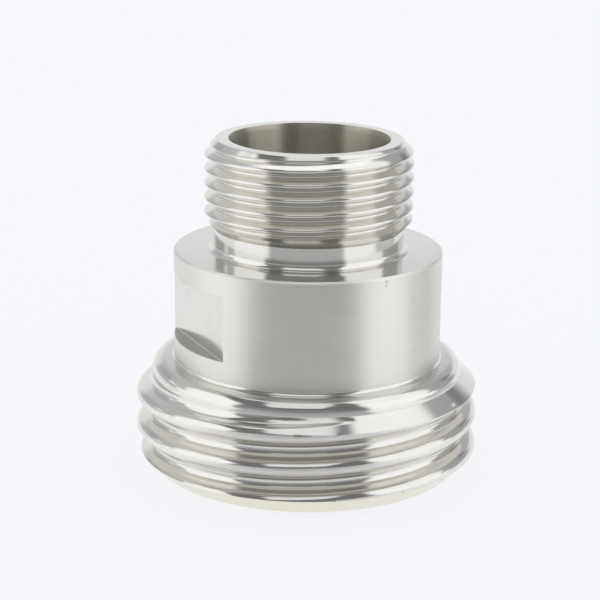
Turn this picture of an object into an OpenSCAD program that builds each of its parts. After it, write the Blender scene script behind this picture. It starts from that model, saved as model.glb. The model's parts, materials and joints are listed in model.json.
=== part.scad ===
// Male thread adapter for hygienic tubing, turned from one piece of stainless bar.
// Bottom: round thread Rd 44 x 1/6 in of a DN 20 dairy union. Top: parallel pipe thread G 3/4.
// The bore runs along Z. Z = 0 is the flat rim at the round-thread end, +Z points to the G 3/4 end.
// All sizes are millimetres, all angles are degrees.

/* [Heights] */
// Length of the round-thread section, from the rim to the collar face
lower_h = 14.0; // [12:0.1:24]
// Length of the plain body between the two threaded ends
body_h = 14.2; // [11:0.1:30]
// Length of the upper spigot, neck and G thread together
spigot_h = 14.1; // [11:0.1:24]

/* [Round thread] */
// Major diameter of the round thread
rd_major_d = 44.0; // [43.5:0.1:44.5]
// Pitch of the round thread, six turns to the inch
rd_pitch = 4.2333; // [3:0.0001:5]
// Crest and root radius of the round thread
rd_round = 1.0097; // [0.85:0.0001:1.09]
// Angle of one thread flank from the radial direction
rd_flank = 15; // [10:1:25]
// Height of one crest above the rim, on the +X side
rd_crest_z = 2.97; // [0:0.01:5]
// Width of the 45 degree chamfer at the rim
rd_chamfer = 2.3; // [1:0.1:3]
// Angle of the cone that ends the thread under the collar, from the axis
rd_end_angle = 55; // [35:1:65]
// Rounding on the edge of the collar face
collar_round = 1.5; // [0.3:0.1:2]
// Height of the straight collar wall between that rounding and the cone
collar_wall_h = 0.3; // [0.05:0.05:1]

/* [Body and wrench flats] */
// Diameter of the plain body
body_d = 34.2; // [32:0.1:38]
// Distance across the two wrench flats
flats_w = 30.0; // [26:0.1:33]
// Height of a wrench flat
flats_h = 8.2; // [5:0.1:10]
// Distance from the collar face up to the wrench flats
flats_gap = 3.0; // [1:0.1:5]
// Direction of the wrench flats, measured from +X
flats_angle = 25; // [0:1:90]
// Fillet where the body meets the collar face
body_fillet = 0.4; // [0.1:0.1:1]
// Bevel on the upper edge of the body
body_bevel = 0.3; // [0.1:0.05:1]

/* [Pipe thread] */
// Major diameter of the G thread
g_major_d = 26.441; // [26:0.001:27]
// Pitch of the G thread, fourteen turns to the inch
g_pitch = 1.8143; // [1.5:0.0001:2.4]
// Depth of the G thread
g_depth = 1.162; // [0.95:0.001:1.2]
// Crest and root radius of the G thread
g_round = 0.249; // [0.2:0.001:0.29]
// Angle of one thread flank from the radial direction
g_flank = 27.5; // [25:0.5:30]
// Distance from the top face down to the first crest on the +X side
g_crest_drop = 1.12; // [0:0.01:2]
// Diameter of the neck under the G thread
neck_d = 24.1; // [22:0.1:24.1]
// Length of the neck between the body and the thread
neck_h = 2.8; // [1:0.1:5]
// Fillet at the foot of the neck
neck_fillet = 0.8; // [0.2:0.1:1.5]
// Angle of the thread start above the neck, from the axis
g_start_angle = 40; // [20:1:60]
// Outer diameter of the flat top face
face_d = 23.5; // [21.5:0.1:23.8]

/* [Bore and gasket seat] */
// Diameter of the through bore
bore_d = 20.0; // [16:0.1:20]
// Bevel at the upper edge of the bore
bore_bevel = 0.2; // [0.1:0.05:0.5]
// Bevel at the lower edge of the bore
seat_bevel = 0.3; // [0.1:0.05:0.5]
// Diameter of the round recess that takes the gasket
gasket_d = 33.0; // [30:0.1:34]
// Depth of the gasket recess below the rim
gasket_depth = 6.0; // [4:0.1:8]
// Diameter of the tapered mouth at the rim
mouth_d = 36.0; // [34.5:0.1:37]
// Angle of the tapered mouth, from the axis
mouth_angle = 30; // [15:1:45]

/* [Hidden] */

// Columns around each thread and smooth circles elsewhere
rd_cols = 60;
g_cols = 48;
$fn = 120;

steel = [0.74, 0.75, 0.74];

top_z = lower_h + body_h + spigot_h;
body_top = lower_h + body_h;
rd_r = rd_major_d / 2;
rd_depth = rd_pitch / 2;
rd_root = rd_r - rd_depth;
g_r = g_major_d / 2;
g_root = g_r - g_depth;
body_r = body_d / 2;
bore_r = bore_d / 2;
neck_r = neck_d / 2;
face_r = face_d / 2;
gasket_r = gasket_d / 2;
mouth_r = mouth_d / 2;

// The threaded sleeves sit on exact seats of the turned core, so the core stays
// a plain solid of revolution and no thread facet crosses one of its surfaces.
seat_gap = 0.01;
rd_bury = 1.3;
g_bury = 1.2;
rim_r = rd_r - rd_chamfer;
rd_lo = 0.5;
edge_round = min(collar_round, rd_root - body_r - body_fillet);
rd_hi = lower_h - edge_round - collar_wall_h;
rd_core_r = rd_root - 0.9;
neck_top = body_top + neck_h;
g_hi = top_z - (g_root - face_r) - 0.01;
g_core_r = g_root - 0.9;

// One pitch of a round-topped thread: height from the crest, radius
function arc_steps(n, half) = [for (k = [0:n - 1]) -half + 2 * half * k / (n - 1)];
function pitch_points(rmax, depth, pitch, round_r, flank, n, m) = concat(
    [for (a = arc_steps(n, 90 - flank)) [round_r * sin(a), rmax - round_r * (1 - cos(a))]],
    [for (a = arc_steps(m, 90 - flank)) [pitch / 2 + round_r * sin(a), rmax - depth + round_r * (1 - cos(a))]]);

// Height of row j in column i, and the same row one turn on
function row_z(pts, pitch, z0, cols, i, j) =
    z0 + pitch * (i / cols + floor(j / len(pts))) + pts[j % len(pts)][0];

// A closed ring whose outside is the helical thread between two level edges.
// lo and hi are [height, radius] of those edges; a cone of the given slope limits the thread at each.
// crest_z is the height of any one crest in the direction +X.
module thread_sleeve(pts, pitch, crest_z, cols, lo, lo_slope, hi, hi_slope, inner_r, dip) {
    z0 = crest_z - pitch * ceil((crest_z - lo[0]) / pitch + 1);
    rows = ceil((hi[0] - z0) / pitch + 2) * len(pts);
    jmin = [for (i = [0:cols - 1]) min([for (j = [0:rows - 1])
        if (row_z(pts, pitch, z0, cols, i, j) > lo[0] + 0.06) j])];
    jmax = [for (i = [0:cols - 1]) max([for (j = [0:rows - 1])
        if (row_z(pts, pitch, z0, cols, i, j) < hi[0] - 0.06) j])];
    count = [for (i = [0:cols - 1]) jmax[i] - jmin[i] + 1];
    first = [for (i = 0, s = 0; i < cols; s = s + count[i], i = i + 1) s];
    total = first[cols - 1] + count[cols - 1];

    // Radius of the thread at any height of column i
    function clip(r, z) = min(r, lo[1] + (z - lo[0]) * lo_slope, hi[1] + (hi[0] - z) * hi_slope);
    function thread_r(i, z, j) =
        row_z(pts, pitch, z0, cols, i, j + 1) < z ? thread_r(i, z, j + 1) :
        let (za = row_z(pts, pitch, z0, cols, i, j), zb = row_z(pts, pitch, z0, cols, i, j + 1),
             ra = pts[j % len(pts)][1], rb = pts[(j + 1) % len(pts)][1])
        ra + (rb - ra) * (z - za) / (zb - za);

    thread_points = [for (i = [0:cols - 1]) for (j = [jmin[i]:jmax[i]])
        let (z = row_z(pts, pitch, z0, cols, i, j), r = clip(pts[j % len(pts)][1], z), a = 360 * i / cols)
        [r * cos(a), r * sin(a), z]];
    // Level rings: thread foot, thread top, upper and lower inner edge
    hi_ring = [for (i = [0:cols - 1]) clip(thread_r(i, hi[0], jmax[i]), hi[0])];
    rings = [[for (i = [0:cols - 1]) [lo[1], lo[0]]],
        [for (i = [0:cols - 1]) [hi_ring[i], hi[0]]],
        [for (i = [0:cols - 1]) [inner_r, hi[0] + dip]],
        [for (i = [0:cols - 1]) [inner_r, lo[0] - dip]]];
    ring_points = [for (g = rings) for (i = [0:cols - 1])
        let (a = 360 * i / cols) [g[i][0] * cos(a), g[i][0] * sin(a), g[i][1]]];

    // Index of a thread point, also for column cols, which is column 0 one turn on
    function at(i, j) = i < cols ? first[i] + j - jmin[i] : j + len(pts) - jmin[0];
    function ring(g, i) = total + g * cols + i % cols;
    function low(i) = i < cols ? jmin[i] : jmin[0] - len(pts);
    function high(i) = i < cols ? jmax[i] : jmax[0] - len(pts);

    quads = [for (i = [0:cols - 1]) for (j = [low(i):high(i + 1) - 1])
        each [[at(i, j), at(i, j + 1), at(i + 1, j + 1)], [at(i, j), at(i + 1, j + 1), at(i + 1, j)]]];
    foot = [for (i = [0:cols - 1])
        let (b = low(i), c = low(i + 1))
        each b == c
            ? [[ring(0, i), at(i, b), at(i + 1, b)], [ring(0, i), at(i + 1, b), ring(0, i + 1)]]
            : [[ring(0, i), at(i + 1, c), ring(0, i + 1)], [ring(0, i), at(i, b), at(i + 1, c)],
               [at(i, b), at(i + 1, b), at(i + 1, c)]]];
    top = [for (i = [0:cols - 1])
        let (b = high(i), c = high(i + 1))
        each b == c
            ? [[at(i, b), ring(1, i), ring(1, i + 1)], [at(i, b), ring(1, i + 1), at(i + 1, b)]]
            : [[at(i, c), at(i, b), at(i + 1, c)], [at(i, b), ring(1, i + 1), at(i + 1, c)],
               [at(i, b), ring(1, i), ring(1, i + 1)]]];
    last = len(rings) - 1;
    walls = [for (g = [1:last]) for (i = [0:cols - 1])
        let (h = g == last ? 0 : g + 1)
        each [[ring(g, i), ring(h, i), ring(h, i + 1)], [ring(g, i), ring(h, i + 1), ring(g, i + 1)]]];
    polyhedron(points = concat(thread_points, ring_points), faces = concat(quads, foot, top, walls));
}

// Section of the turned core, from the bore outwards
module core_section() {
    mouth_h = (mouth_r - gasket_r) / tan(mouth_angle);
    wall_r = rd_root + seat_gap;
    polygon(concat(
        [[mouth_r, 0], [rim_r, 0], [rim_r + rd_lo, rd_lo], [rd_core_r, rd_lo],
         [rd_core_r, rd_hi], [wall_r, rd_hi]],
        [for (a = [0:15:90])
            [wall_r - edge_round + edge_round * cos(a), lower_h - edge_round + edge_round * sin(a)]],
        [for (a = [270:-15:180])
            [body_r + body_fillet + body_fillet * cos(a), lower_h + body_fillet + body_fillet * sin(a)]],
        [[body_r, body_top - body_bevel], [body_r - body_bevel, body_top]],
        [for (a = [270:-15:180])
            [neck_r + neck_fillet + neck_fillet * cos(a), body_top + neck_fillet + neck_fillet * sin(a)]],
        [[neck_r, neck_top], [g_core_r, neck_top], [g_core_r, g_hi],
         [face_r + top_z - g_hi, g_hi], [face_r, top_z],
         [bore_r + bore_bevel, top_z], [bore_r, top_z - bore_bevel],
         [bore_r, gasket_depth + seat_bevel], [bore_r + seat_bevel, gasket_depth],
         [gasket_r, gasket_depth], [gasket_r, mouth_h]]));
}

module rd_thread() {
    thread_sleeve(pitch_points(rd_r, rd_depth, rd_pitch, rd_round, rd_flank, 7, 5),
        rd_pitch, rd_crest_z, rd_cols, [rd_lo, rim_r + rd_lo - seat_gap], 1,
        [rd_hi, rd_root], tan(rd_end_angle), rd_root - rd_bury, 0.15);
}

module g_thread() {
    thread_sleeve(pitch_points(g_r, g_depth, g_pitch, g_round, g_flank, 3, 3),
        g_pitch, top_z - g_crest_drop, g_cols, [neck_top, neck_r - seat_gap], tan(g_start_angle),
        [g_hi, face_r + top_z - g_hi - seat_gap], 1, g_root - g_bury, 0.15);
}

// Two blind flats milled into the round body
module wrench_flats() {
    for (s = [0, 180]) rotate([0, 0, flats_angle + s])
        translate([flats_w / 2, -body_r, lower_h + flats_gap]) cube([body_r, 2 * body_r, flats_h]);
}

module adapter_body() {
    color(steel) union() {
        difference() {
            rotate_extrude() core_section();
            wrench_flats();
        }
        rd_thread();
        g_thread();
    }
}

adapter_body();
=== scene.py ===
import json
import math

import bpy
import numpy as np
from mathutils import Matrix, Vector


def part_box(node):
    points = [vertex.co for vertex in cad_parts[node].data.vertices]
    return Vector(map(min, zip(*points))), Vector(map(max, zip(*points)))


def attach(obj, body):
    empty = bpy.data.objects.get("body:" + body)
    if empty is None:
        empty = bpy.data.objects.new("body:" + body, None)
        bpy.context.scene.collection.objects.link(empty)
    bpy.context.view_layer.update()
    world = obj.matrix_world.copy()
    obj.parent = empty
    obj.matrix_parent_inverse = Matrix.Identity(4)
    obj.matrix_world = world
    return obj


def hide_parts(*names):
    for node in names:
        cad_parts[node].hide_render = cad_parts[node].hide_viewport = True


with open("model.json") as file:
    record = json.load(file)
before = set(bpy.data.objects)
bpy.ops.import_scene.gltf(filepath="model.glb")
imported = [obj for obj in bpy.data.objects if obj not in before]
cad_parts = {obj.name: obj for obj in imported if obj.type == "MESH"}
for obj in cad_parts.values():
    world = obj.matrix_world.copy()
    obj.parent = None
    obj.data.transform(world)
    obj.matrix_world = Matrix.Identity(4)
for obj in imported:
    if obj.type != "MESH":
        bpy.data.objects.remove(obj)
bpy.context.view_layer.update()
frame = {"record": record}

MM = 0.001
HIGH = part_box("adapter_body")[1]
MOUNTS = {m["name"]: m for m in frame["record"]["mounts"]}

# Sizes are in millimetres and angles in degrees, from the frame where it states them.
TOP_Z = HIGH.z / MM
RD_R = HIGH.x / MM
BORE_R = MOUNTS["through_bore"]["dims"]["r_mm"]
GASKET_R = MOUNTS["gasket_seat"]["dims"]["r_mm"]

# The two wrench flats: their distance from the axis, the direction of one, the height of their middle and
# how tall they are. FLAT_BREAK is the break along their level edges. The next size is that of the bevel
# where a flat meets its lower ledge, which carries a painted highlight line. A flat is divided into
# FLAT_ROWS, its last row lies FLAT_LEDGE below the upper ledge, and a plain ring runs FLAT_MARGIN below and
# above. The flat's plane is followed as far as FLAT_REACH degrees to either side.
FLAT_MOUNT = MOUNTS["wrench_flat_back"]
FLAT_HALF = math.hypot(*FLAT_MOUNT["pos_m"][:2]) / MM
FLAT_DIR = math.degrees(math.atan2(FLAT_MOUNT["axis"][1], FLAT_MOUNT["axis"][0]))
FLAT_MID = FLAT_MOUNT["pos_m"][2] / MM
FLAT_TALL = 8.2
FLAT_BREAK = 0.06
FLAT_HIGHLIGHT_LINE = 0.07
FLAT_ROWS = 12
FLAT_MARGIN = 0.5
FLAT_LEDGE = 0.01
FLAT_REACH = 60

# The heights of the collar, the body and the neck, the radii from the body up to the sealing face, and the
# fillets, breaks and roundings between them. A plain ring runs BODY_FOOT above the body's foot and one
# SHOULDER_FOOT below its shoulder. The faces within BREAK_ZONE of the shoulder's corner are matt and lighter,
# a painted highlight on that edge.
LOWER_H = 14.0
BODY_TOP = 28.2
NECK_TOP = 31.0
BODY_R = 17.1
NECK_R = 12.05
FACE_R = 11.75
BODY_FOOT_ROUND = 0.4
BODY_FOOT = 1.5
SHOULDER_FOOT = 1.0
SHOULDER_BREAK = 0.24
BREAK_ROUND = 0.1
BREAK_ZONE = 1.5 * SHOULDER_BREAK
NECK_ROUND = 0.8
FACE_ROUND = 0.3
FACE_EDGE = 0.25

# The bore and its soft upper edge, then the gasket seat and the tapered mouth at its foot
BORE_BEVEL = 0.2
BORE_FLARE = 0.9
BORE_ROUND = 0.03
BORE_STEP = 12
SEAT_BEVEL = 0.3
GASKET_Z = 6.0
GASKET_ROUND = 0.25
MOUTH_R = 18.0
MOUTH_H = 2.598
INNER_ROUND = 0.08

# The flat rim that the part stands on. The surface starts at this radius on it, and ends RIM_GAP inside.
RIM_START = 18.15
RIM_GAP = 0.001
RIM_ROUND = 0.12

# The round thread: its profile, the height of a crest on the right and how many pitches below it the rows
# begin, the 45 degree cone at its foot and the cone at its end. The rows are kept from RD_FOOT up. A crest is
# matt and lighter, a painted highlight, within RD_CREST_CAP of the full radius.
RD_PITCH = 4.2333
RD_ROOT = RD_R - RD_PITCH / 2
RD_ROUND = 1.0097
RD_FLANK = 15
RD_ARC_POINTS = 12
RD_CREST_Z = 2.97
RD_BELOW = 2
RD_CREST_CAP = 0.07
RD_CHAMFER = 2.3
RIM_R = RD_R - RD_CHAMFER
RD_FOOT = 0.3
RD_END = 12.2
RD_END_ANGLE = 55
# The first groove fades in while its middle rises between these heights.
THREAD_START = (1.15, 1.95)
# The collar above the thread, a hair wider than its root
COLLAR_STEP = 0.01
COLLAR_ROUND = 1.5

# The pipe thread in the same way, with its start cone at the neck and a 45 degree cone at its end. The rows
# stop G_HEAD_GAP below the height at which that cone has the root's radius.
G_R = 13.2205
G_PITCH = 1.8143
G_DEPTH = 1.162
G_ROOT = G_R - G_DEPTH
G_ROUND = 0.249
G_FLANK = 27.5
G_ARC_POINTS = 8
G_CREST_Z = TOP_Z - 1.12
G_BELOW = 8
G_START_ANGLE = 40
G_HEAD_GAP = 0.02

# How the surface is divided: columns round the axis, the largest turn in one step of a rounded corner, the
# share of a side that a corner may take up, the least height between rows, and the sharpest smooth edge
COLUMNS = 360
CORNER_STEP = 14
CORNER_SHARE = 0.98
EDGE_GAP = 0.03
SMOOTH_LIMIT = 38
# Guards against rounding errors and division by zero
NEAR = 1e-6
TINY = 1e-12
LEAST_RISE = 1e-3


def column_angles():
    """Evenly spaced directions round the axis, with four moved onto the edges of the wrench flats."""
    angles = np.arange(COLUMNS) * 360.0 / COLUMNS
    half = math.degrees(math.acos(FLAT_HALF / BODY_R))
    for edge in (FLAT_DIR - half, FLAT_DIR + half, FLAT_DIR + 180 - half, FLAT_DIR + 180 + half):
        angles[int(round(edge % 360 * COLUMNS / 360)) % COLUMNS] = edge % 360
    return angles


ANGLES = column_angles()


def flat_radius(angles):
    """Distance from the axis to the nearer wrench flat's plane in each direction."""
    turn = (angles - FLAT_DIR + 90) % 180 - 90
    return FLAT_HALF / np.cos(np.radians(np.clip(turn, -FLAT_REACH, FLAT_REACH)))


class Skin:
    """One closed surface, gathered ring by ring from the rim outwards, up, and back down the bore."""

    def __init__(self):
        self.points, self.faces, self.zones = [], [], []

    def point(self, radius, z, angle):
        a = math.radians(angle)
        self.points.append((radius * math.cos(a), radius * math.sin(a), z))
        return len(self.points) - 1

    def ring(self, radius, z):
        radii = np.broadcast_to(radius, COLUMNS)
        return [self.point(radii[i], z, ANGLES[i]) for i in range(COLUMNS)]

    def face(self, corners, zone):
        self.faces.append(corners)
        self.zones.append(zone)

    def bridge(self, a, b, zone, cut=None):
        """Joins two rings. Where cut is given, only its columns have the zone, the others are plain body."""
        for i in range(COLUMNS):
            k = (i + 1) % COLUMNS
            inside = cut is None or cut[i] or cut[k]
            self.face((a[i], a[k], b[k], b[i]), zone if inside else "body")

    def thread(self, below, above, z_lo, z_hi, rows, pitch, z_first, limit, zone, fill=None):
        """Fills the gap between two level rings with rows that follow the helix.
        rows are the points of one pitch as (height above the crest, radius), z_first is the height of the
        lowest crest, and limit gives the radius of the end cones at a height. fill gives the radius that a
        point keeps from its radius, its height and the height of its groove's middle."""
        count = len(rows)
        spare_turns = 3
        total = int(math.ceil((z_hi - z_lo) / pitch) + spare_turns) * count
        columns = []
        for angle in ANGLES:
            turn = angle / 360
            heights = [z_first + pitch * (turn + j // count) + rows[j % count][0] for j in range(total)]
            radii = [rows[j % count][1] for j in range(total)]
            if fill:
                # The lower half of a crest counts to the groove below it, the other rows to the one above.
                ahead = 3 * count // 4
                grooves = [z_first + pitch * (turn + (j + ahead) // count - 0.5) for j in range(total)]
                radii = [fill(r, z, groove) for r, z, groove in zip(radii, heights, grooves)]
            snap_to_limit(heights, radii, limit)
            kept = {}
            for j in range(total):
                if z_lo + EDGE_GAP < heights[j] < z_hi - EDGE_GAP:
                    kept[j] = self.point(min(radii[j], limit(heights[j])), heights[j], angle)
            columns.append(kept)
        columns.append({j - count: p for j, p in columns[0].items()})
        for i in range(COLUMNS):
            self.stitch(columns[i], columns[i + 1], below, above, i, zone)

    def stitch(self, left, right, below, above, i, zone):
        """Joins two neighbouring columns, where either may hold one row more at an end."""
        k = (i + 1) % COLUMNS
        lo, hi = max(min(left), min(right)), min(max(left), max(right))
        for j in range(lo, hi):
            self.face((left[j], right[j], right[j + 1], left[j + 1]), zone)
        foot = [left[j] for j in range(lo, min(left) - 1, -1)] + [below[i], below[k]]
        foot += [right[j] for j in range(min(right), lo + 1)]
        self.face(tuple(foot), zone)
        head = [left[j] for j in range(hi, max(left) + 1)] + [above[i], above[k]]
        head += [right[j] for j in range(max(right), hi - 1, -1)]
        self.face(tuple(reversed(head)), zone)

    def rename(self, zone, test):
        """Gives a zone to the faces whose points all pass a test of their radius and height."""
        for f, corners in enumerate(self.faces):
            points = [self.points[c] for c in corners]
            if all(test(math.hypot(x, y), z) for x, y, z in points):
                self.zones[f] = zone


def smooth(share):
    """Lets a share from 0 to 1 start and end gently."""
    return share * share * (3 - 2 * share)


def start_radius(radius, cone, groove):
    """The first groove fades in from the end cone, over the heights of its middle that THREAD_START gives."""
    low, high = THREAD_START
    share = min(1.0, max(0.0, (high - groove) / (high - low)))
    return radius + smooth(share) * max(0.0, cone - radius)


def snap_to_limit(heights, radii, limit):
    """Moves the row nearest each place where the thread meets an end cone onto that place."""
    for j in range(len(heights) - 1):
        a, b = radii[j] - limit(heights[j]), radii[j + 1] - limit(heights[j + 1])
        if a * b < 0:
            t = a / (a - b)
            z = heights[j] + t * (heights[j + 1] - heights[j])
            n = j if t < 0.5 else j + 1
            heights[n] = z
            radii[n] = limit(z)


def pitch_rows(radius, depth, pitch, rounding, flank, steps):
    """The points of one pitch of a round-cornered thread, from one crest on."""
    half = math.radians(90 - flank)
    turn = [-half + 2 * half * k / (steps - 1) for k in range(steps)]
    crest = [(rounding * math.sin(a), radius - rounding * (1 - math.cos(a))) for a in turn]
    root = [(pitch / 2 + z, 2 * radius - depth - r) for z, r in crest]
    return crest + root


def rounded(corners):
    """Points of a section line whose corners (r, z, rounding, zone) are rounded off, each with its zone."""
    out = []
    for n, (r, z, size, zone) in enumerate(corners):
        if size == 0 or n in (0, len(corners) - 1):
            out.append((r, z, zone))
            continue
        here = np.array((r, z))
        a = np.array(corners[n - 1][:2]) - here
        b = np.array(corners[n + 1][:2]) - here
        ua, ub = a / np.linalg.norm(a), b / np.linalg.norm(b)
        half = math.acos(np.clip(np.dot(ua, ub), -1, 1)) / 2
        room_a = CORNER_SHARE * np.linalg.norm(a) - corners[n - 1][2]
        room_b = CORNER_SHARE * np.linalg.norm(b) - corners[n + 1][2]
        reach = min(size / math.tan(half), room_a, room_b)
        radius = reach * math.tan(half)
        middle = here + (ua + ub) / np.linalg.norm(ua + ub) * radius / math.sin(half)
        start, end = here + ua * reach - middle, here + ub * reach - middle
        sweep = math.pi - 2 * half
        steps = max(2, int(math.ceil(math.degrees(sweep) / CORNER_STEP)))
        for k in range(steps + 1):
            t = k / steps
            arm = (math.sin((1 - t) * sweep) * start + math.sin(t * sweep) * end) / math.sin(sweep)
            p = middle + arm
            out.append((p[0], p[1], zone if k == steps else "edge"))
    return out


def add_line(skin, last, corners):
    """Adds a rounded section line as rings, joined to the ring before it."""
    for r, z, zone in rounded(corners):
        ring = skin.ring(r, z)
        if last:
            skin.bridge(last[0], ring, last[1])
        last = (ring, zone)
    return last


def add_round_thread(skin, last):
    """The round thread between the rim's cone and the collar."""
    rows = pitch_rows(RD_R, RD_PITCH / 2, RD_PITCH, RD_ROUND, RD_FLANK, RD_ARC_POINTS)
    end_slope = math.tan(math.radians(RD_END_ANGLE))

    def limit(z):
        return min(RIM_R + z, RD_ROOT + (RD_END - z) * end_slope)

    def fill(radius, z, groove):
        return start_radius(radius, min(RIM_R + z, RD_R), groove)

    above = skin.ring(RD_ROOT, RD_END)
    first_crest = RD_CREST_Z - RD_BELOW * RD_PITCH
    skin.thread(last[0], above, RD_FOOT, RD_END, rows, RD_PITCH, first_crest, limit, "rd", fill)
    skin.rename("crest", lambda r, z: r > RD_R - RD_CREST_CAP)
    skin.rename("chamfer", lambda r, z: z < RD_CHAMFER + EDGE_GAP and abs(r - RIM_R - z) < EDGE_GAP)
    return above, "rd"


def add_body(skin, last):
    """The plain round body, with its two blind wrench flats."""
    flats = np.minimum(BODY_R, flat_radius(ANGLES))
    low, high = FLAT_MID - FLAT_TALL / 2, FLAT_MID + FLAT_TALL / 2
    near_edge = np.maximum(flats, BODY_R - FLAT_BREAK)
    levels = [
        (low - FLAT_MARGIN, BODY_R, "body"),
        (low - FLAT_BREAK, BODY_R, "body"),
        # The ledges take a darker steel, painted shade in these steps.
        (low, near_edge, "ledge"),
        # A painted highlight line: the bevel under the flat takes a lighter, creamier steel.
        (low, np.minimum(near_edge, flats + FLAT_HIGHLIGHT_LINE), "burr"),
        (low + FLAT_HIGHLIGHT_LINE, flats, "flat")]
    for k in range(1, FLAT_ROWS):
        levels.append((low + (high - low) * k / FLAT_ROWS, flats, "flat"))
    levels += [
        (high - FLAT_LEDGE, flats, "ledge"),
        (high, near_edge, "body"),
        (high + FLAT_BREAK, BODY_R, "body"),
        (high + FLAT_MARGIN, BODY_R, "body")]
    cut = flats < BODY_R - NEAR
    for z, radius, zone in levels:
        ring = skin.ring(radius, z)
        skin.bridge(last[0], ring, last[1], cut)
        last = (ring, zone)
    return last


def add_pipe_thread(skin, last):
    """The pipe thread between the neck and the sealing face."""
    rows = pitch_rows(G_R, G_DEPTH, G_PITCH, G_ROUND, G_FLANK, G_ARC_POINTS)
    start_slope = math.tan(math.radians(G_START_ANGLE))

    def limit(z):
        return min(NECK_R + (z - NECK_TOP) * start_slope, FACE_R + TOP_Z - z)

    head = TOP_Z - (G_ROOT - FACE_R) - G_HEAD_GAP
    above = skin.ring(limit(head), head)
    first_crest = G_CREST_Z - G_BELOW * G_PITCH
    skin.thread(last[0], above, NECK_TOP, head, rows, G_PITCH, first_crest, limit, "g")
    return above, "g"


def build_skin():
    """The whole surface of the adapter."""
    skin = Skin()
    last = add_line(skin, None, [
        (RIM_START, 0.0, 0, "rim"),
        (RIM_R, 0, RIM_ROUND, "chamfer"),
        (RIM_R + RD_FOOT, RD_FOOT, 0, "chamfer")])
    first_ring = list(range(COLUMNS))
    last = add_round_thread(skin, last)
    last = add_line(skin, last, [
        (RD_ROOT + COLLAR_STEP, RD_END + EDGE_GAP, 0, "collar"),
        (RD_ROOT + COLLAR_STEP, LOWER_H, COLLAR_ROUND, "collar_top"),
        (BODY_R, LOWER_H, BODY_FOOT_ROUND, "body"),
        (BODY_R, LOWER_H + BODY_FOOT, 0, "body")])
    last = add_body(skin, last)
    last = add_line(skin, last, [
        (BODY_R, BODY_TOP - SHOULDER_FOOT, 0, "body"),
        (BODY_R, BODY_TOP - SHOULDER_BREAK, BREAK_ROUND, "body"),
        (BODY_R - SHOULDER_BREAK, BODY_TOP, BREAK_ROUND, "shoulder"),
        (NECK_R, BODY_TOP, NECK_ROUND, "neck"),
        (NECK_R, NECK_TOP, 0, "neck")])
    skin.rename("break", lambda r, z: min(r - BODY_R, z - BODY_TOP) > -BREAK_ZONE)
    last = add_pipe_thread(skin, last)
    last = add_line(skin, last, [
        (FACE_R + FACE_EDGE, TOP_Z - FACE_EDGE, 0, "edge"),
        (FACE_R, TOP_Z, FACE_ROUND, "face"),
        (BORE_R + BORE_BEVEL, TOP_Z, BORE_ROUND, "bore"),
        (BORE_R, TOP_Z - BORE_FLARE, 0, "bore"),
        (BORE_R, TOP_Z - BORE_STEP, 0, "bore"),
        (BORE_R, TOP_Z - 2 * BORE_STEP, 0, "bore"),
        (BORE_R, GASKET_Z + SEAT_BEVEL, INNER_ROUND, "edge"),
        (BORE_R + SEAT_BEVEL, GASKET_Z, INNER_ROUND, "seat"),
        (GASKET_R, GASKET_Z, GASKET_ROUND, "seat"),
        (GASKET_R, MOUTH_H, INNER_ROUND, "mouth"),
        (MOUTH_R, 0.0, RIM_ROUND, "rim"),
        (RIM_START - RIM_GAP, 0.0, 0, "rim")])
    skin.bridge(last[0], first_ring, "rim")
    return skin


def corner_normals(points, faces, limit_deg):
    """A normal for each face corner, from the faces round that point which lie within a limit of this face.
    They count by their area."""
    face_normal = np.zeros((len(faces), 3))
    for f, corners in enumerate(faces):
        p = points[list(corners)]
        face_normal[f] = np.cross(p, np.roll(p, -1, axis=0)).sum(axis=0)
    area = np.linalg.norm(face_normal, axis=1, keepdims=True)
    unit = face_normal / np.maximum(area, TINY)
    around = [[] for _ in range(len(points))]
    for f, corners in enumerate(faces):
        for c in corners:
            around[c].append(f)
    valence = max(len(a) for a in around)
    table = np.full((len(points), valence), -1)
    for v, a in enumerate(around):
        table[v, :len(a)] = a
    corner_face = np.repeat(np.arange(len(faces)), [len(c) for c in faces])
    corner_point = np.concatenate([np.array(c) for c in faces])
    near = table[corner_point]
    agree = (unit[near] * unit[corner_face][:, None, :]).sum(axis=2) > math.cos(math.radians(limit_deg))
    weight = (agree & (near >= 0))[:, :, None] * face_normal[near]
    total = weight.sum(axis=1)
    return total / np.maximum(np.linalg.norm(total, axis=1, keepdims=True), TINY)


def add_object(name, data):
    """Puts a new object with this data into the scene."""
    made = bpy.data.objects.new(name, data)
    bpy.context.scene.collection.objects.link(made)
    return made


def mesh_piece(name, skin, materials, zone_material):
    """Makes the skin a piece, with smooth faces whose own normals keep the sharp edges."""
    points = np.array(skin.points)
    mesh = bpy.data.meshes.new(name)
    mesh.from_pydata((points * MM).tolist(), [], skin.faces)
    for material in materials:
        mesh.materials.append(material)
    mesh.polygons.foreach_set("material_index", [zone_material[z] for z in skin.zones])
    mesh.polygons.foreach_set("use_smooth", [True] * len(mesh.polygons))
    mesh.normals_split_custom_set(corner_normals(points, skin.faces, SMOOTH_LIMIT).tolist())
    mesh.update()
    return add_object(name, mesh)


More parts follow.
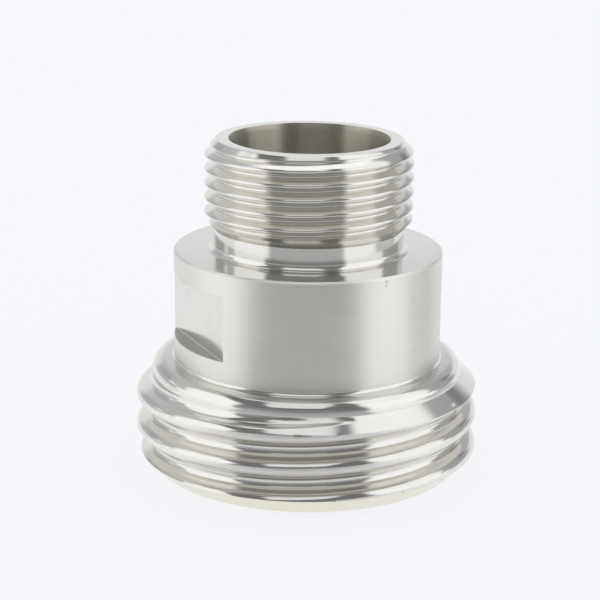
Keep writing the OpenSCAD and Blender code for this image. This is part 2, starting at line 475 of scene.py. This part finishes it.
class Shading:
    """A material's nodes, with short calls for the ones used most."""

    def __init__(self, name):
        self.material = bpy.data.materials.new(name)
        self.material.use_nodes = True
        self.nodes = self.material.node_tree.nodes
        self.links = self.material.node_tree.links

    def feed(self, socket, value):
        """Gives an input a plain value or the output of another node."""
        if isinstance(value, bpy.types.NodeSocket):
            self.links.new(value, socket)
        else:
            socket.default_value = value

    def node(self, kind, inputs=(), out=0, **settings):
        """Adds a node, feeds its inputs, and returns one of its outputs."""
        node = self.nodes.new(kind)
        for key, value in settings.items():
            setattr(node, key, value)
        for key, value in dict(inputs).items():
            self.feed(node.inputs[key], value)
        return node.outputs[out]

    def math(self, operation, *values):
        return self.node("ShaderNodeMath", enumerate(values), operation=operation)

    def join(self, x, y, z):
        return self.node("ShaderNodeCombineXYZ", enumerate((x, y, z)))

    def split(self, vector):
        return self.node("ShaderNodeSeparateXYZ", {0: vector}).node.outputs

    def scaled(self, vector, factor):
        return self.node("ShaderNodeVectorMath", {0: vector, "Scale": factor}, operation="SCALE")

    def noise(self, vector, detail=2.0):
        inputs = {"Vector": vector, "Scale": 1.0, "Detail": detail, "Roughness": 0.5}
        return self.node("ShaderNodeTexNoise", inputs)

    def ramp(self, value, span, low, high):
        """Maps a span of values onto the span from low to high, and keeps the result within it."""
        inputs = {"Value": value, "From Min": span[0], "From Max": span[1], "To Min": low, "To Max": high}
        return self.node("ShaderNodeMapRange", inputs)

    def mix(self, factor, a, b):
        """Mixes two colours, by the sockets that the node has for colours."""
        return self.node("ShaderNodeMix", {0: factor, 6: a, 7: b}, out=2, data_type="RGBA")

    def show(self, shader):
        self.feed(self.nodes["Material Output"].inputs["Surface"], shader)


# The tool lines are a noise with this many steps on each millimetre along the axis, and FACE_LINES of that
# number on each millimetre outwards, so that a level face has rings. Round the axis the noise runs on a
# circle of its own, whose radius says how much it changes. The broad lines are wider and higher than the
# fine ones by these factors. The ripple is a slow waviness made in the same way, and the blotches have one
# scale in all directions.
LINES_PER_MM = 5.5
FACE_LINES = 0.62
FINE_CIRCLE = 2.5
BROAD_CIRCLE = 1.5
BROAD_WIDTH = 7
BROAD_HEIGHT = 2.5
RIPPLE_CIRCLE = 18
RIPPLE_PER_MM = 0.05
BLOTCH_SCALE = 0.22
# Over this middle span of the noise the roughness and the tone change between these factors.
UNEVEN_SPAN = (0.35, 0.65)
ROUGH_SPREAD = (0.82, 1.18)
TONE_SPREAD = (0.955, 1.03)
# A face takes a painted reflection of the warm floor, a warmer tone, as its normal turns down over this span
# of heights.
FLOOR_REFLECTION_SPAN = (-0.15, -0.75)
FLOOR_REFLECTION_TINT = (0.975, 0.955, 0.86)
# A quarter turn lays the stretched highlights across the tool lines.
HIGHLIGHT_TURN = 0.25
# A knock's edge is ragged at this scale, it fades out between these shares of its size, and it is at least
# this rough.
NICK_SCALE = 6.0
NICK_EDGE = (0.9, 1.3)
NICK_ROUGHNESS = 0.55
NICK_COLOR = (0.98, 0.98, 0.96, 1)
MARK_COLOR = (0.62, 0.62, 0.66, 1)


def brightened(color, factor):
    """A colour made lighter or darker by a factor, with its alpha."""
    return (*[min(1.0, c * factor) for c in color], 1)


def metal(name, color, roughness, anisotropic, line_height,
          ripple=0.0, floor_reflection=0.5, nicks=(), nick_color=NICK_COLOR, milled=False):
    """Machined steel. Fine tool lines run round the axis, or level across a milled flat.
    line_height is the height of those lines in millimetres, and ripple that of a slow waviness round the
    axis. The argument after ripple says how much of a painted reflection of the warm floor, a warmer tone, a
    face that looks down takes. nicks are small knocks, each with its place and size, and have nick_color."""
    s = Shading(name)
    shader = s.nodes["Principled BSDF"].inputs
    s.feed(shader["Metallic"], 1.0)
    s.feed(shader["Anisotropic"], anisotropic)
    s.feed(shader["Anisotropic Rotation"], HIGHLIGHT_TURN)
    s.feed(shader["Tangent"], s.node("ShaderNodeTangent", direction_type="RADIAL", axis="Z"))

    place = s.scaled(s.node("ShaderNodeTexCoord", out="Object"), 1 / MM)
    x, y, z = s.split(place)
    radius = s.math("SQRT", s.math("ADD", s.math("MULTIPLY", x, x), s.math("MULTIPLY", y, y)))
    across = z if milled else s.math("MULTIPLY_ADD", radius, FACE_LINES, z)
    cosine, sine = s.math("DIVIDE", x, radius), s.math("DIVIDE", y, radius)

    def round_axis(circle, per_mm, detail=1.0):
        around = [s.math("MULTIPLY", c, circle) for c in (cosine, sine)]
        return s.noise(s.join(*around, s.math("MULTIPLY", across, per_mm)), detail)

    fine = round_axis(FINE_CIRCLE, LINES_PER_MM, detail=2.0)
    broad = round_axis(BROAD_CIRCLE, LINES_PER_MM / BROAD_WIDTH)
    blotch = s.noise(s.scaled(place, BLOTCH_SCALE), detail=3.0)

    height = s.math("MULTIPLY", fine, line_height)
    height = s.math("MULTIPLY_ADD", broad, line_height * BROAD_HEIGHT, height)
    if ripple:
        height = s.math("MULTIPLY_ADD", round_axis(RIPPLE_CIRCLE, RIPPLE_PER_MM), ripple, height)
    s.feed(shader["Normal"], s.node("ShaderNodeBump", {"Strength": 1.0, "Distance": MM, "Height": height}))

    uneven = s.math("MULTIPLY_ADD", fine, 0.5, s.math("MULTIPLY", blotch, 0.5))
    rough = s.ramp(uneven, UNEVEN_SPAN, *[roughness * f for f in ROUGH_SPREAD])
    tone = s.mix(s.ramp(uneven, UNEVEN_SPAN, 0.0, 1.0), *[brightened(color, f) for f in TONE_SPREAD])
    facing = s.split(s.node("ShaderNodeNewGeometry", out="Normal"))
    # Painted reflection of the warm floor: faces that look down take a warmer colour.
    down = s.ramp(facing[2], FLOOR_REFLECTION_SPAN, 0.0, floor_reflection)
    tone = s.mix(down, tone, brightened([c * w for c, w in zip(color, FLOOR_REFLECTION_TINT)], 1.0))
    for spot, size in nicks:
        gap = s.node("ShaderNodeVectorMath", {0: place, 1: spot}, out="Value", operation="DISTANCE")
        ragged = s.math("MULTIPLY_ADD", s.noise(s.scaled(place, NICK_SCALE)), size, gap)
        mask = s.ramp(ragged, [size * f for f in NICK_EDGE], 1.0, 0.0)
        tone = s.mix(mask, tone, nick_color)
        rough = s.math("MAXIMUM", rough, s.math("MULTIPLY", mask, NICK_ROUGHNESS))
    s.feed(shader["Base Color"], tone)
    s.feed(shader["Roughness"], rough)
    return s.material


STEEL = (0.758, 0.752, 0.728)
SATIN_STEEL = (0.780, 0.782, 0.732)
# A darker steel for the ledges at the flats' ends: painted shade in those steps.
SHADED_LEDGE_STEEL = (0.60, 0.59, 0.56)
# A darker, browner steel for the bore, the seat and the mouth.
DARK_BORE_STEEL = (0.66, 0.63, 0.545)
# A lighter, creamier steel: a painted reflection of the bright floor on the foot's chamfer, and a painted
# highlight line on the bevels under the flats.
PAINTED_REFLECTION_STEEL = (0.905, 0.895, 0.815)
# A lighter, matt steel for the crest tops and the shoulder's edge: matt, with a painted highlight.
MATT_HIGHLIGHT_STEEL = (0.86, 0.86, 0.84)

# Small knocks on edges and crests, each with its place and size in millimetres
THREAD_NICKS = [
    ((18.35, -11.1, 11.12), 0.42),
    ((18.1, -11.5, 11.05), 0.34),
    ((17.8, -11.9, 10.98), 0.18),
    ((-19.5, -9.2, 6.05), 0.10),
    ((-10.2, -17.6, 7.05), 0.12)]
BODY_NICKS = [
    ((9.5, -14.22, 27.6), 0.40),
    ((9.4, -14.28, 27.15), 0.30)]

SATIN, BRIGHT, MILLED, BORED, PAINTED_REFLECTION, SHADED, MATT_HIGHLIGHT = range(7)
ZONE_MATERIALS = [
    metal("satin_steel", SATIN_STEEL, roughness=0.43, anisotropic=0.6, line_height=0.0004,
          ripple=0.0006, nicks=BODY_NICKS, nick_color=MARK_COLOR),
    metal("bright_steel", STEEL, roughness=0.12, anisotropic=0.5, line_height=0.0004,
          floor_reflection=0.8, nicks=THREAD_NICKS),
    metal("milled_steel", SATIN_STEEL, roughness=0.18, anisotropic=0.2, line_height=0.0002, milled=True),
    metal("bored_steel", DARK_BORE_STEEL, roughness=0.38, anisotropic=1.0, line_height=0.0001),
    metal("fresh_steel", PAINTED_REFLECTION_STEEL, roughness=0.30, anisotropic=0.4, line_height=0.0002, floor_reflection=0.9),
    metal("ledge_steel", SHADED_LEDGE_STEEL, roughness=0.36, anisotropic=0.0, line_height=0.0012, milled=True),
    metal("turned_steel", MATT_HIGHLIGHT_STEEL, roughness=0.5, anisotropic=0.3, line_height=0.0002)]
# The material of each zone of the skin. Some carry painted light: the chamfer a painted reflection of the
# floor, the bevels under the flats a painted highlight line, the crests and the shoulder's edge a painted
# highlight, and the ledges painted shade.
ZONES = {
    "rim": BRIGHT, "chamfer": PAINTED_REFLECTION, "rd": BRIGHT, "crest": MATT_HIGHLIGHT,
    "collar": BRIGHT, "collar_top": BRIGHT, "edge": BRIGHT, "body": SATIN,
    "ledge": SHADED, "burr": PAINTED_REFLECTION, "flat": MILLED, "break": MATT_HIGHLIGHT,
    "shoulder": BRIGHT, "neck": BRIGHT, "g": BRIGHT, "face": BRIGHT,
    "bore": BORED, "seat": BORED, "mouth": BORED}

adapter = mesh_piece("adapter", build_skin(), ZONE_MATERIALS, ZONES)
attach(adapter, "root")
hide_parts("adapter_body")

# The camera looks at the point of the axis at TARGET_Z from DISTANCE away, in millimetres. CENTRE_PX is where
# that point lies in the photo, and whole numbers there are the middles of pixels.
PHOTO_PX = 600
FOCAL_PX = 1829.2
CENTRE_PX = (306.71, 323.08)
PIXEL_MIDDLE = 0.5
SENSOR_MM = 36
TARGET_Z = 18
DISTANCE = 235.85
PITCH = 16.80
ROLL = 0.773
CLIP_START_M = 0.01


def add_camera():
    """The photo's own view, fitted to the outline and the thread crests."""
    data = bpy.data.cameras.new("camera")
    data.sensor_width = SENSOR_MM
    data.lens = FOCAL_PX / PHOTO_PX * data.sensor_width
    data.shift_x = (PHOTO_PX / 2 - CENTRE_PX[0] - PIXEL_MIDDLE) / PHOTO_PX
    data.shift_y = (CENTRE_PX[1] + PIXEL_MIDDLE - PHOTO_PX / 2) / PHOTO_PX
    data.clip_start = CLIP_START_M
    turn = Matrix.Rotation(math.radians(90 - PITCH), 4, "X") @ Matrix.Rotation(math.radians(ROLL), 4, "Z")
    target = Vector((0, 0, TARGET_Z)) * MM
    back = turn.to_3x3() @ Vector((0, 0, 1))
    camera = add_object("camera", data)
    camera.matrix_world = Matrix.Translation(target + back * (DISTANCE * MM)) @ turn
    bpy.context.scene.camera = camera


# The floor's lit colour, the even tone that the camera and the steel see of it, and that tone's share. The
# floor reaches this many metres to every side.
PAPER = (0.930, 0.939, 0.973, 1)
SEEN_PAPER = (0.940, 0.949, 0.984, 1)
PAPER_GLOW = 0.86
FLOOR_HALF_M = 4.0


def add_floor():
    """A pale floor. Part of what the camera and the metal see of it is its own even tone, the rest is lit
    and holds the object's shadow."""
    mesh = bpy.data.meshes.new("floor")
    corners = [(x * FLOOR_HALF_M, y * FLOOR_HALF_M, 0) for x, y in ((-1, -1), (1, -1), (1, 1), (-1, 1))]
    mesh.from_pydata(corners, [], [(0, 1, 2, 3)])
    s = Shading("floor")
    shader = s.nodes["Principled BSDF"]
    s.feed(shader.inputs["Base Color"], PAPER)
    s.feed(shader.inputs["Roughness"], 1.0)
    s.feed(shader.inputs["Specular IOR Level"], 0.0)
    glow = s.node("ShaderNodeEmission", {"Color": SEEN_PAPER, "Strength": 1.0})
    path = s.nodes.new("ShaderNodeLightPath").outputs
    seen = s.math("MAXIMUM", path["Is Camera Ray"], path["Is Glossy Ray"])
    seen = s.math("MAXIMUM", seen, path["Is Transmission Ray"])
    share = s.math("MULTIPLY", seen, PAPER_GLOW)
    s.show(s.node("ShaderNodeMixShader", {0: share, 1: shader.outputs[0], 2: glow}))
    mesh.materials.append(s.material)
    floor = add_object("floor", mesh)


# The soft panels of the studio as the steel mirrors them, the later ones in front. A wall panel has its
# middle and half width round the object (0 on the camera's side, 90 on the right), its lowest and highest
# elevation and its soft edge, all in degrees, then its strength. ROOM is the strength between them.
ROOM = 0.60
WALL_PANELS = (
    (180, 50, -9, 20, 8, 0.90),
    (-131, 16, -9, 18, 9, 0.58),
    (-170, 26, 20, 42, 8, 0.60),
    (150, 22, 19, 42, 10, 0.50),
    (124, 14, -9, 34, 10, 0.44),
    (125, 14, 35, 56, 6, 1.02),
    (138, 7, 22, 37, 6, 0.26),
    (-134, 18, 14, 38, 10, 0.48),
    (-79, 27, -9, 95, 7, 1.20),
    (-111, 9, 12, 52, 8, 1.10),
    (76, 30, -9, 95, 7, 1.20),
    (108, 9, 26, 95, 9, 1.08),
    (-4, 48, -9, 95, 5, 0.28),
    (-4, 46, -9, 9, 8, 0.40),
    (31, 10, 12, 60, 5, 0.24),
    (-38, 9, 14, 50, 6, 0.27))
# A panel overhead has its left edge where it passes above the object and that edge's slant, the same two for
# its right edge, its front and back edge and its soft edge, all as a share of its height, then its strength.
OVERHEAD_PANELS = (
    (-4.0, 0.0, -0.30, 0.0, 0.50, 1.3, 0.16, 0.60),
    (0.45, 0.0, 4.0, 0.0, 0.58, 1.3, 0.16, 0.44),
    (-0.68, 0.45, 0.30, -0.62, -1.65, 0.42, 0.10, 0.20),
    (0.30, -0.62, 1.05, 0.0, -0.20, 0.52, 0.10, 1.14),
    (-0.33, -0.10, 0.44, 0.0, 0.14, 1.08, 0.12, 1.25),
    (-0.27, 0.0, 0.18, 0.0, -0.24, 0.14, 0.08, 0.95),
    (-0.28, 0.30, 0.24, 0.0, -0.98, -0.22, 0.07, 0.92))
# The dome's radius, and how many columns and rows of points it has
STUDIO_RADIUS = 600
STUDIO_GRID = (300, 120)
# The tint of the light of the studio, the table and the disc under the bore
TINT = (0.994, 0.992, 1.000, 1.0)

# What the steel mirrors of the table round the object, the later ones in front. Each panel has its middle
# and half width in degrees, the distance at which it begins and the one at which it is full, in millimetres,
# and its strength. The last one grows towards the object, where the table lies in its shade.
TABLE_PANELS = (
    (-72, 24, 34, 58, 1.10),
    (61, 20, 34, 58, 1.10),
    (104, 18, 40, 66, 0.64),
    (-2, 43, 16, 62, 0.50),
    (0, 52, 30, 21, 0.45))
# The panels' soft edge, and how far the table reaches round to either side, in degrees
TABLE_EDGE = 6
TABLE_REACH = 125
# The columns and rows of its points start just outside the object. The rows lie closer together there.
TABLE_GRID = (121, 33)
TABLE_START = 1.02 * RD_R
TABLE_SPREAD = 2.5
# The painted shade at the foot of the bore: a dark disc, a little narrower than the mouth
UNDER_LIGHT = 0.08
UNDER_R = 0.97 * MOUTH_R
UNDER_POINTS = 48
# How far the table and the disc lie above the floor
LIFT = 0.1


def soft_step(value, width):
    """Rises from 0 to 1 as the value passes zero, over a width."""
    return smooth(np.clip(value / width + 0.5, 0, 1))


def soft_box(value, low, high, width):
    """1 between low and high and 0 outside, with soft edges."""
    return soft_step(value - low, width) * soft_step(high - value, width)


def turn_between(a, b):
    """The angle between two directions round the axis."""
    return np.abs((a - b + 180) % 360 - 180)


def round_object(azimuth, distance):
    """Points just above the floor, where azimuth 0 is the camera's side."""
    a = np.radians(azimuth)
    return np.stack([np.sin(a) * distance, -np.cos(a) * distance, np.full(len(a), LIFT)], 1) * MM


def add_reflector(name, points, faces, light):
    """A stage piece that only reflections show, with a light for each point."""
    mesh = bpy.data.meshes.new(name)
    mesh.from_pydata(points.tolist(), [], faces)
    layer = mesh.attributes.new("panel_light", "FLOAT_COLOR", "POINT")
    layer.data.foreach_set("color", np.outer(light, TINT).ravel())
    s = Shading(name)
    color = s.node("ShaderNodeAttribute", attribute_name="panel_light")
    s.show(s.node("ShaderNodeEmission", {"Color": color, "Strength": 1.0}))
    mesh.materials.append(s.material)
    piece = add_object(name, mesh)
    piece.visible_camera = False
    piece.visible_diffuse = False
    piece.visible_shadow = False
    piece.visible_transmission = False


def grid_faces(columns, rows, closed):
    """The quads between neighbouring points of a grid, round to the first column again if it is closed."""
    faces = []
    for j in range(rows - 1):
        for i in range(columns if closed else columns - 1):
            k = (i + 1) % columns
            low, high = j * columns, (j + 1) * columns
            faces.append((low + i, low + k, high + k, high + i))
    return faces


def add_studio():
    """A dome of soft light panels."""
    columns, rows = STUDIO_GRID
    azimuth, elevation = np.meshgrid(np.arange(columns) * 360 / columns, np.arange(rows) * 90 / (rows - 1))
    azimuth, elevation = azimuth.ravel(), elevation.ravel()
    a, e = np.radians(azimuth), np.radians(elevation)
    toward = np.stack([np.sin(a) * np.cos(e), -np.cos(a) * np.cos(e), np.sin(e)], 1)
    light = np.full(len(azimuth), ROOM)
    for middle, half, low, high, soft, strength in WALL_PANELS:
        cover = soft_step(half - turn_between(azimuth, middle), soft) * soft_box(elevation, low, high, soft)
        light += cover * (strength - light)
    across, along = toward[:, :2].T / np.maximum(toward[:, 2], LEAST_RISE)
    for left, left_slant, right, right_slant, front, back, soft, strength in OVERHEAD_PANELS:
        cover = soft_box(across, left + left_slant * along, right + right_slant * along, soft)
        cover *= soft_box(along, front, back, soft)
        light += cover * (strength - light)
    add_reflector("studio", toward * STUDIO_RADIUS * MM, grid_faces(columns, rows, True), light)


def add_table():
    """The table round the object as the steel mirrors it."""
    columns, rows = TABLE_GRID
    azimuth, share = np.meshgrid(np.linspace(-TABLE_REACH, TABLE_REACH, columns), np.linspace(0, 1, rows))
    azimuth, share = azimuth.ravel(), share.ravel()
    distance = TABLE_START + (STUDIO_RADIUS - TABLE_START) * share ** TABLE_SPREAD
    light = np.full(len(azimuth), PAPER[1])
    for middle, half, begins, full, strength in TABLE_PANELS:
        cover = soft_step(half - turn_between(azimuth, middle), TABLE_EDGE)
        cover *= np.clip((distance - begins) / (full - begins), 0, 1)
        light += cover * (strength - light)
    add_reflector("table", round_object(azimuth, distance), grid_faces(columns, rows, False), light)


def add_shade():
    """Painted shade: the dark disc that the bore shows at its foot."""
    azimuth = np.linspace(0, 360, UNDER_POINTS, endpoint=False)
    face = tuple(range(UNDER_POINTS))
    light = np.full(UNDER_POINTS, UNDER_LIGHT)
    add_reflector("shade", round_object(azimuth, UNDER_R), [face], light)


def add_world():
    """Even pale light from all round."""
    world = bpy.data.worlds.new("studio")
    world.use_nodes = True
    background = world.node_tree.nodes["Background"].inputs
    background["Color"].default_value = PAPER
    background["Strength"].default_value = 1.0
    bpy.context.scene.world = world


add_camera()
add_floor()
add_world()
add_studio()
add_table()
add_shade()
bpy.context.scene.view_settings.view_transform = "Standard"
